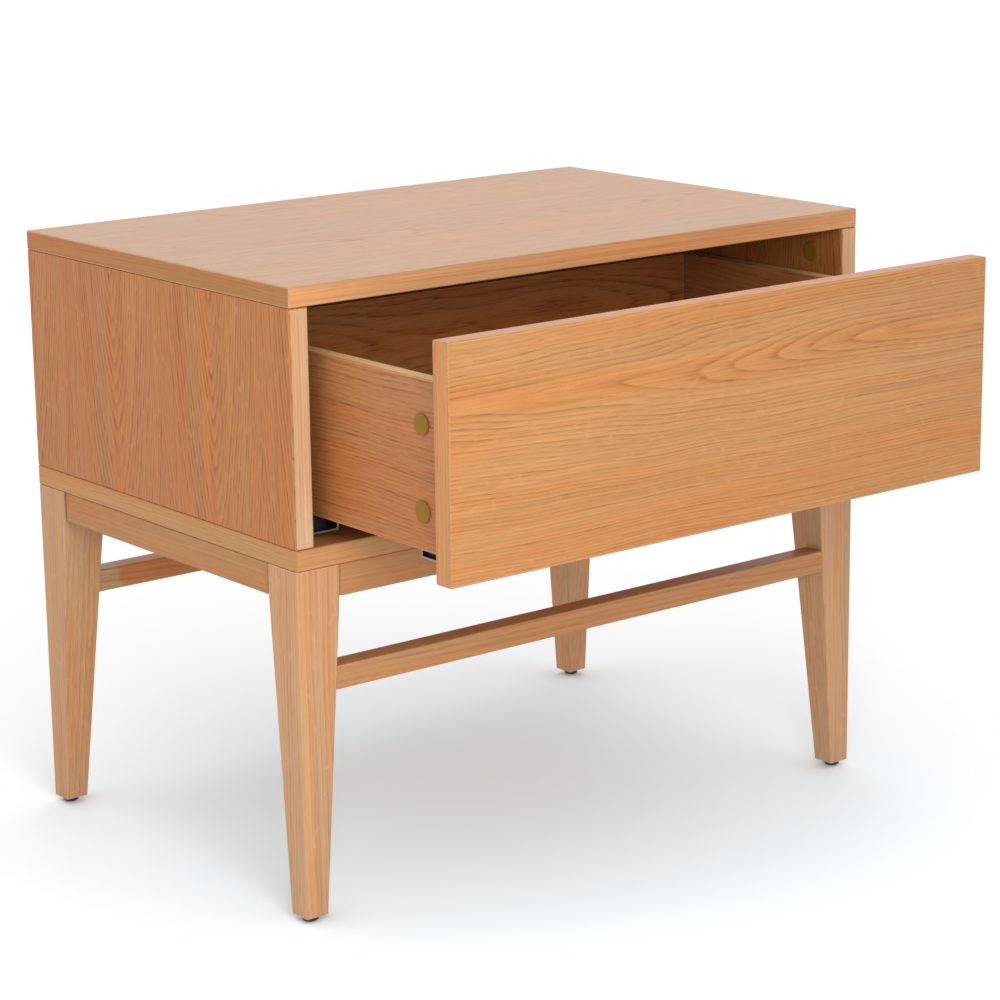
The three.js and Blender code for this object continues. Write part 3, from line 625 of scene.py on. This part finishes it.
# A square leg, straight beside the aprons and then tapering on its two inner faces.
def makeLeg(corner):
    low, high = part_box(f"leg_{corner}")
    inX = 1 if "left" in corner else -1
    inY = 1 if "front" in corner else -1
    outer = Vector((low.x if inX > 0 else high.x, low.y if inY > 0 else high.y))
    full = high.x - low.x
    bm = bmesh.new()
    rings = []
    for z, size in ((low.z, legShape["foot"]), (apronBottom, full), (high.z, full)):
        rings.append([bm.verts.new((outer.x + inX * u * size, outer.y + inY * v * size, z))
                      for u, v in ((0, 0), (1, 0), (1, 1), (0, 1))])
    bm.faces.new(rings[0])
    bm.faces.new(rings[2])
    for lower, upper in zip(rings, rings[1:]):
        for i in range(4):
            bm.faces.new((lower[i], lower[(i + 1) % 4], upper[(i + 1) % 4], upper[i]))
    bm.normal_update()
    upright = [edge for edge in bm.edges
               if abs(edge.verts[0].co.z - edge.verts[1].co.z) > full / 4]
    easeEdges(bm, upright, legShape["ease"], legShape["segments"])
    ends = [edge for edge in bm.edges
            if any(all(abs(vert.co.z - z) < 1e-6 for vert in edge.verts) for z in (low.z, high.z))]
    easeEdges(bm, ends, legShape["footEase"], 2)
    index = corners.index(corner)
    finishPiece(f"legAt_{corner}", bm, ("solidZ",), "carcass", "oak_solid", f"leg_{corner}",
                spot=(0.06 * index, 0.05 * index, 0.31 * index))


for corner in corners:
    makeLeg(corner)


# An apron between two legs; a small bevel at each end makes the groove beside the leg.
def makeApron(place):
    low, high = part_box(f"apron_{place}")
    alongX = place in ("front", "rear")
    first, last = (("front_left", "front_right") if alongX else ("front_left", "rear_left"))
    axis = 0 if alongX else 1
    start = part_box(f"leg_{first}")[1][axis] + apronShape["gap"]
    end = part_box(f"leg_{last}")[0][axis] - apronShape["gap"]
    outward = {"front": -1, "rear": 1, "left": -1, "right": 1}[place]
    across = 1 - axis
    face = low[across] if outward < 0 else high[across]
    inner = high[across] if outward < 0 else low[across]
    bevel = apronShape["endBevel"]
    outline = [(start, face - outward * bevel), (start + bevel, face), (end - bevel, face),
               (end, face - outward * bevel), (end, inner), (start, inner)]
    if axis == 1:
        outline = [(v, u) for u, v in outline]
    bm = bmesh.new()
    addPrism(bm, outline, 2, low.z, high.z)
    bm.normal_update()
    easeEdges(bm, sharpEdges(bm), apronShape["ease"])
    finishPiece(f"apronAt_{place}", bm, ("solidX" if alongX else "solidY",), "carcass", "oak_solid",
                f"apron_{place}", spot=(0.1 * outward, 0.23 * outward, 0.07 * axis))


for place in ("front", "rear", "left", "right"):
    makeApron(place)


# How wide a leg is at a height, for the ends that meet its taper.
def legSizeAt(z):
    low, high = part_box("leg_front_left")
    share = min(1.0, (z - low.z) / (apronBottom - low.z))
    return legShape["foot"] + (high.x - low.x - legShape["foot"]) * share


def makeStretcher(place):
    low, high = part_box(f"stretcher_{place}")
    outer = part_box("leg_front_left")[0].x
    below = abs(outer) - legSizeAt(low.z) - stretcherShape["gap"]
    above = abs(outer) - legSizeAt(high.z) - stretcherShape["gap"]
    bm = bmesh.new()
    addPrism(bm, [(-below, low.z), (below, low.z), (above, high.z), (-above, high.z)], 1, low.y, high.y)
    bm.normal_update()
    longEdges = [edge for edge in bm.edges if abs(edge.verts[0].co.x - edge.verts[1].co.x) > 0.1]
    easeEdges(bm, longEdges, stretcherShape["ease"])
    atRear = place == "rear"
    finishPiece(f"stretcherAt_{place}", bm, ("rearStretcher" if atRear else "solidX",), "carcass",
                "oak_solid", f"stretcher_{place}", spot=(0.4 * atRear, 0.05, 0.06))


for place in ("front", "rear"):
    makeStretcher(place)


print("making the drawer")

drawerEase = {"front": 0.9 * mm, "box": 0.6 * mm, "boxLip": 0.8 * mm}
makeBoard("drawerFront", "drawer_front", 1, ("oakFront", "frontLippingZ", "lippingXPaintedLight"), "drawer",
          "oak_front", ease=drawerEase["front"])
for side in sides:
    makeBoard(f"drawerSide_{side}", f"drawer_side_{side}", 0, ("oakDrawer", "lippingZ", "boxLippingYPaleWithHighlight"),
              "drawer", "oak_drawer", lip=drawerEase["boxLip"], ease=drawerEase["box"])
makeBoard("drawerBack", "drawer_back", 1, ("oakDrawerBack", "lippingZ", "boxLippingXPaleWithHighlight"), "drawer",
          "oak_drawer", lip=drawerEase["boxLip"], ease=drawerEase["box"])
makeBoard("drawerBottom", "drawer_bottom", 2, ("thinBoard", "thinBoard", "thinBoard"), "drawer",
          "oak_thin_board", **thinBoardEdge)


# Cover caps and glides are stamped by one tree.

print("making the fittings")


# A tree that stamps one master shape on every point, turned by the point's "turn" vector and spun
# about its own axis by a seeded random angle.
def makeStampTree(name):
    tree = bpy.data.node_groups.new(name, "GeometryNodeTree")
    tree.interface.new_socket("Geometry", in_out="INPUT", socket_type="NodeSocketGeometry")
    for label, kind in (("Master", "Object"), ("Material", "Material"), ("Largest Spin", "Float"),
                        ("Seed", "Int")):
        tree.interface.new_socket(label, in_out="INPUT", socket_type="NodeSocket" + kind)
    tree.interface.new_socket("Geometry", in_out="OUTPUT", socket_type="NodeSocketGeometry")
    add = tree.nodes.new
    given, result = add("NodeGroupInput").outputs, add("NodeGroupOutput").inputs
    points, master, stamped = add("GeometryNodeMeshToPoints"), add("GeometryNodeObjectInfo"), add(
        "GeometryNodeInstanceOnPoints")
    turn, facing = add("GeometryNodeInputNamedAttribute"), add("FunctionNodeEulerToRotation")
    spin, spun, about = add("FunctionNodeRandomValue"), add("GeometryNodeRotateInstances"), add(
        "ShaderNodeCombineXYZ")
    solid, painted = add("GeometryNodeRealizeInstances"), add("GeometryNodeSetMaterial")
    turn.data_type = "FLOAT_VECTOR"
    turn.inputs["Name"].default_value = "turn"
    spin.data_type = "FLOAT"
    link = tree.links.new
    link(given["Geometry"], points.inputs["Mesh"])
    link(given["Master"], master.inputs["Object"])
    link(points.outputs[0], stamped.inputs["Points"])
    link(master.outputs["Geometry"], stamped.inputs["Instance"])
    link(turn.outputs["Attribute"], facing.inputs[0])
    link(facing.outputs[0], stamped.inputs["Rotation"])
    spinHigh = next(socket for socket in spin.inputs if socket.name == "Max" and socket.enabled)
    spinValue = next(socket for socket in spin.outputs if socket.enabled)
    link(given["Largest Spin"], spinHigh)
    link(given["Seed"], spin.inputs["Seed"])
    link(spinValue, about.inputs[2])
    link(stamped.outputs[0], spun.inputs["Instances"])
    link(about.outputs[0], spun.inputs["Rotation"])
    link(spun.outputs[0], solid.inputs[0])
    link(solid.outputs[0], painted.inputs["Geometry"])
    link(given["Material"], painted.inputs["Material"])
    link(painted.outputs[0], result["Geometry"])
    return tree


stampTree = makeStampTree("stampFittings")


# A turned master with its axis on Z, from (radius, height) pairs that start and end on the axis.
def makeTurned(name, outline, segments):
    bm = bmesh.new()
    rings = []
    for radius, height in outline:
        if radius == 0:
            rings.append([bm.verts.new((0, 0, height))] * segments)
        else:
            rings.append([bm.verts.new((radius * math.cos(2 * math.pi * i / segments),
                                        radius * math.sin(2 * math.pi * i / segments), height))
                          for i in range(segments)])
    for lower, upper in zip(rings, rings[1:]):
        for i in range(segments):
            loop = [lower[i], lower[(i + 1) % segments], upper[(i + 1) % segments], upper[i]]
            bm.faces.new(list(dict.fromkeys(loop)))
    bmesh.ops.recalc_face_normals(bm, faces=bm.faces[:])
    return masterFrom(name, bm)


def masterFrom(name, bm):
    mesh = bpy.data.meshes.new(name)
    bm.to_mesh(mesh)
    bm.free()
    mesh.polygons.foreach_set("use_smooth", [True] * len(mesh.polygons))
    mesh.set_sharp_from_angle(angle=math.radians(40))
    return bpy.data.objects.new(name, mesh)


# Stamps the master at each place and keeps the result as one plain mesh riding one body.
def stampPieces(name, master, places, finishName, body, nodes, largestSpin=0.0, seed=5):
    spots = bpy.data.meshes.new(name + "Spots")
    spots.from_pydata([place for place, turn in places], [], [])
    turns = spots.attributes.new("turn", "FLOAT_VECTOR", "POINT")
    for item, (place, turn) in zip(turns.data, places):
        item.vector = turn
    holder = bpy.data.objects.new(name + "Holder", spots)
    bpy.context.scene.collection.objects.link(holder)
    stamper = holder.modifiers.new("Stamp", "NODES")
    stamper.node_group = stampTree
    values = {"Master": master, "Material": materials[finishName], "Largest Spin": largestSpin,
              "Seed": seed}
    for item in stampTree.interface.items_tree:
        if item.in_out == "INPUT" and item.name in values:
            stamper[item.identifier] = values[item.name]
    depsgraph = bpy.context.evaluated_depsgraph_get()
    mesh = bpy.data.meshes.new_from_object(holder.evaluated_get(depsgraph))
    bpy.data.objects.remove(holder)
    bpy.data.meshes.remove(spots)
    bpy.data.objects.remove(master)
    mesh.name = name
    if "turn" in mesh.attributes:
        mesh.attributes.remove(mesh.attributes["turn"])
    piece = bpy.data.objects.new(name, mesh)
    bpy.context.scene.collection.objects.link(piece)
    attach(piece, body)
    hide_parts(*nodes)
    return piece


def nodesWith(*words):
    return [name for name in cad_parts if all(word in name for word in words)]


# Cover caps: thin discs with a rounded rim and a shallow dish.
# Shares of the rim, the radius and the dish depth shape the way in from the edge.
capShape = {"rim": 0.45 * mm, "dish": 0.25 * mm, "segments": 40, "rimTurn": 0.3, "flatRadius": 0.72,
            "dishRadius": 0.5, "dishFall": 0.7}


def makeCaps(name, body, nodes, faces):
    low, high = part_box(nodes[0])
    radius, thick = (high.z - low.z) / 2, high.x - low.x
    rim, dish = capShape["rim"], capShape["dish"]
    turn = capShape["rimTurn"] * rim
    outline = [(0, 0), (radius, 0), (radius, thick - rim), (radius - turn, thick - turn),
               (radius - rim, thick), (radius * capShape["flatRadius"], thick),
               (radius * capShape["dishRadius"], thick - dish * capShape["dishFall"]), (0, thick - dish)]
    master = makeTurned(name + "Master", outline, capShape["segments"])
    places = []
    for node in nodes:
        low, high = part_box(node)
        out = faces(node)
        start = low.x if out > 0 else high.x
        places.append(((start, (low.y + high.y) / 2, (low.z + high.z) / 2), (0, out * math.pi / 2, 0)))
    stampPieces(name, master, places, "olivePlastic", body, nodes, math.pi)


makeCaps("drawerCaps", "drawer", nodesWith("drawer", "cap"), lambda node: 1 if "right" in node else -1)
makeCaps("carcassCaps", "carcass", nodesWith("carcass", "cap"), lambda node: -1 if "right" in node else 1)

# Glides: a domed plastic foot on a ribbed peg, in the end of each leg.
glideShape = {"rim": 4.8 * mm, "dome": 1.6 * mm, "pegRadius": 3.6 * mm, "ribs": 3, "segments": 28}


def makeGlides():
    nodes = nodesWith("glide")
    low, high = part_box(nodes[0])
    radius, rim = (high.x - low.x) / 2, glideShape["rim"]
    dome, peg = glideShape["dome"], glideShape["pegRadius"]
    outline = [(0, 0), (radius * 0.55, 0.1 * dome), (radius * 0.85, 0.45 * dome), (radius, dome),
               (radius, rim - 0.4 * mm), (radius - 0.4 * mm, rim), (peg, rim)]
    pitch = (high.z - rim) / (glideShape["ribs"] + 0.5)
    for rib in range(glideShape["ribs"]):
        start = rim + pitch * (rib + 0.5)
        outline += [(peg, start), (peg + 0.6 * mm, start + 0.25 * pitch), (peg, start + 0.9 * pitch)]
    outline += [(peg * 0.8, high.z), (0, high.z)]
    master = makeTurned("glideMaster", outline, glideShape["segments"])
    places = []
    for node in nodes:
        low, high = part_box(node)
        places.append((((low.x + high.x) / 2, (low.y + high.y) / 2, low.z), (0, 0, 0)))
    stampPieces("legGlides", master, places, "blackPlastic", "carcass", nodes, math.pi)


makeGlides()


# The catch under each front corner of the drawer: a base plate that reaches out under the slide, and
# a housing on it with a rounded nose and a release lever set in a slot.
# The nose slant, tail bevel and lever rise are shares of the nose and of the slot depth.
catchShape = {"plate": 7.5 * mm, "reach": 7 * mm, "nose": 6 * mm, "noseSlant": 0.6, "tailBevel": 0.5,
              "ease": 0.9 * mm, "slotRim": 3.0 * mm,
              "plateRim": 2.1 * mm, "slotDepth": 4 * mm, "slotDraft": 0.2 * mm, "lever": 3 * mm,
              "leverBevel": 0.6 * mm, "leverRise": 0.8}


def makeCatch(side):
    node = f"drawer_catch_{side}"
    low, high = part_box(node)
    out = -1 if side == "left" else 1
    outerX = low.x if out < 0 else high.x
    innerX = high.x if out < 0 else low.x
    cheekX = outerX - out * catchShape["reach"]
    ledge = low.z + catchShape["plate"]
    bm = bmesh.new()
    for endX, nose, floor, roof in ((outerX, catchShape["nose"] / 2, low.z, ledge),
                                    (cheekX, catchShape["nose"], ledge, high.z)):
        slant, tail = nose * catchShape["noseSlant"], nose * catchShape["tailBevel"]
        addPrism(bm, [(innerX, low.y), (endX - out * slant, low.y), (endX, low.y + nose),
                      (endX, high.y - tail), (endX - out * tail, high.y), (innerX, high.y)],
                 2, floor, roof)
    easeEdges(bm, sharpEdges(bm, math.radians(20)), catchShape["ease"], 2)
    for atX, rim, lever in ((cheekX, catchShape["slotRim"], catchShape["lever"]),
                            (outerX, catchShape["plateRim"], 0)):
        onCheek = [face for face in bm.faces if abs(face.normal.x) > 0.9
                   and abs(face.calc_center_median().x - atX) < 1 * mm]
        cheek = max(onCheek, key=lambda face: face.calc_area())
        bmesh.ops.inset_region(bm, faces=[cheek], thickness=rim)
        dark = bmesh.ops.inset_region(bm, faces=[cheek], thickness=catchShape["slotDraft"],
                                      depth=-catchShape["slotDepth"])["faces"] + [cheek]
        if lever:
            dark += bmesh.ops.inset_region(bm, faces=[cheek], thickness=lever)["faces"]
            dark += bmesh.ops.inset_region(bm, faces=[cheek], thickness=catchShape["leverBevel"],
                                           depth=catchShape["slotDepth"] * catchShape["leverRise"])["faces"]
        for face in dark:
            face.material_index = 1
    mesh = bpy.data.meshes.new(f"catchBody_{side}")
    bmesh.ops.recalc_face_normals(bm, faces=bm.faces[:])
    bm.to_mesh(mesh)
    bm.free()
    mesh.polygons.foreach_set("use_smooth", [True] * len(mesh.polygons))
    mesh.set_sharp_from_angle(angle=math.radians(40))
    body = linkPiece(f"catchBody_{side}", mesh, ("castZinc", "blackPlastic"))
    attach(body, "drawer")
    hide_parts(node)


for side in sides:
    makeCatch(side)


# A black block closes each fixed rail just behind its front end, as painted shade that darkens the rail's
# open end. It stays beside the moving slide and under the drawer side.
shadeBlockShape = {"sunk": 3 * mm, "deep": 16 * mm, "gap": 2.0 * mm, "slideRoom": 9.5 * mm, "ease": 0.8 * mm}


def makeShadeBlock(side):
    low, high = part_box(f"runner_rail_{side}")
    gap = shadeBlockShape["gap"]
    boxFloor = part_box(f"drawer_side_{side}")[0].z
    leftRoom, rightRoom = (gap, shadeBlockShape["slideRoom"]) if side == "left" else (shadeBlockShape["slideRoom"], gap)
    bm = bmesh.new()
    addBox(bm, (low.x + leftRoom, low.y + shadeBlockShape["sunk"], low.z + gap),
           (high.x - rightRoom, low.y + shadeBlockShape["deep"], boxFloor - gap / 2))
    easeEdges(bm, bm.edges[:], shadeBlockShape["ease"], 2)
    mesh = bpy.data.meshes.new(f"railPlug_{side}")
    bmesh.ops.recalc_face_normals(bm, faces=bm.faces[:])
    bm.to_mesh(mesh)
    bm.free()
    mesh.polygons.foreach_set("use_smooth", [True] * len(mesh.polygons))
    shadeBlock = linkPiece(f"railPlug_{side}", mesh, ("paintedShadeBlack",))
    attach(shadeBlock, "carcass")


for side in sides:
    makeShadeBlock(side)


# The other pieces keep their CAD meshes and get better materials.
keptFinishes = (("cam", "castZinc"), ("screw", "screwSteel"), ("block", "blockWood"))
for name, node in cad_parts.items():
    finishName = next((finish for word, finish in keptFinishes if word in name), "zincSteel")
    node.data.materials.clear()
    node.data.materials.append(materials[finishName])


print("setting the stage")

# The floor is a little cooler under the table, which evens out the warm light that the wood throws on it.
stage = {
    "floorReach": 30.0, "floorColour": (0.94, 0.95, 0.96, 1), "floorUnder": (0.84, 0.935, 0.985, 1),
    "coolReach": (0.2, 0.62), "floorRough": 0.7, "floorGloss": 0.2, "floorSides": 64,
    "worldColour": (1.0, 1.0, 1.0, 1), "worldStrength": 1.09,
}
floorBm = bmesh.new()
bmesh.ops.create_circle(floorBm, cap_ends=True, segments=stage["floorSides"],
                        radius=stage["floorReach"])
floorMesh = bpy.data.meshes.new("floor")
floorBm.to_mesh(floorMesh)
floorBm.free()
floor = bpy.data.objects.new("floor", floorMesh)
bpy.context.scene.collection.objects.link(floor)
floorMaterial, floorTree, floorSurface = blankMaterial("paleFloor")
fromMiddle = floorTree.nodes.new("ShaderNodeVectorMath")
fromMiddle.operation = "LENGTH"
feed(floorTree, fromMiddle.inputs[0], objectPlace(floorTree))
outwards = ramp(floorTree, fromMiddle.outputs["Value"], *stage["coolReach"])
feed(floorTree, floorSurface.inputs["Base Color"],
     mixColour(floorTree, outwards, stage["floorUnder"], stage["floorColour"]))
floorSurface.inputs["Roughness"].default_value = stage["floorRough"]
floorSurface.inputs["Specular IOR Level"].default_value = stage["floorGloss"]
floorMesh.materials.append(floorMaterial)

world = bpy.data.worlds.new("studio")
bpy.context.scene.world = world
world.use_nodes = True
sky = world.node_tree.nodes["Background"]
sky.inputs["Color"].default_value = stage["worldColour"]
sky.inputs["Strength"].default_value = stage["worldStrength"]

# A soft box at the left of the camera, aimed at the drawer.
softbox = {"place": (-0.70, -1.20, 0.78), "aim": (0.0, -0.1, 0.40), "size": 0.7, "power": 11.0}
boxLight = bpy.data.lights.new("softbox", "AREA")
boxLight.shape = "SQUARE"
boxLight.size = softbox["size"]
boxLight.energy = softbox["power"]
boxHolder = bpy.data.objects.new("softbox", boxLight)
boxHolder.location = softbox["place"]
boxAim = Vector(softbox["aim"]) - Vector(softbox["place"])
boxHolder.rotation_euler = boxAim.to_track_quat("-Z", "Y").to_euler()
bpy.context.scene.collection.objects.link(boxHolder)

cameraView = {
    "place": (-1.5294, -1.9088, 0.8819), "aim": (-0.0800, -0.0848, 0.3059), "roll": -0.73,
    "lens": 105.9, "sensor": 36, "reach": 100,
}
cameraData = bpy.data.cameras.new("camera")
cameraData.sensor_width = cameraView["sensor"]
cameraData.lens = cameraView["lens"]
cameraData.clip_end = cameraView["reach"]
camera = bpy.data.objects.new("camera", cameraData)
camera.location = cameraView["place"]
gaze = (Vector(cameraView["aim"]) - Vector(cameraView["place"])).to_track_quat("-Z", "Y")
tilt = Matrix.Rotation(math.radians(cameraView["roll"]), 3, "Z").to_quaternion()
camera.rotation_mode = "QUATERNION"
camera.rotation_quaternion = gaze @ tilt
bpy.context.scene.collection.objects.link(camera)
bpy.context.scene.camera = camera
bpy.context.scene.view_settings.view_transform = "Standard"

print("finished")
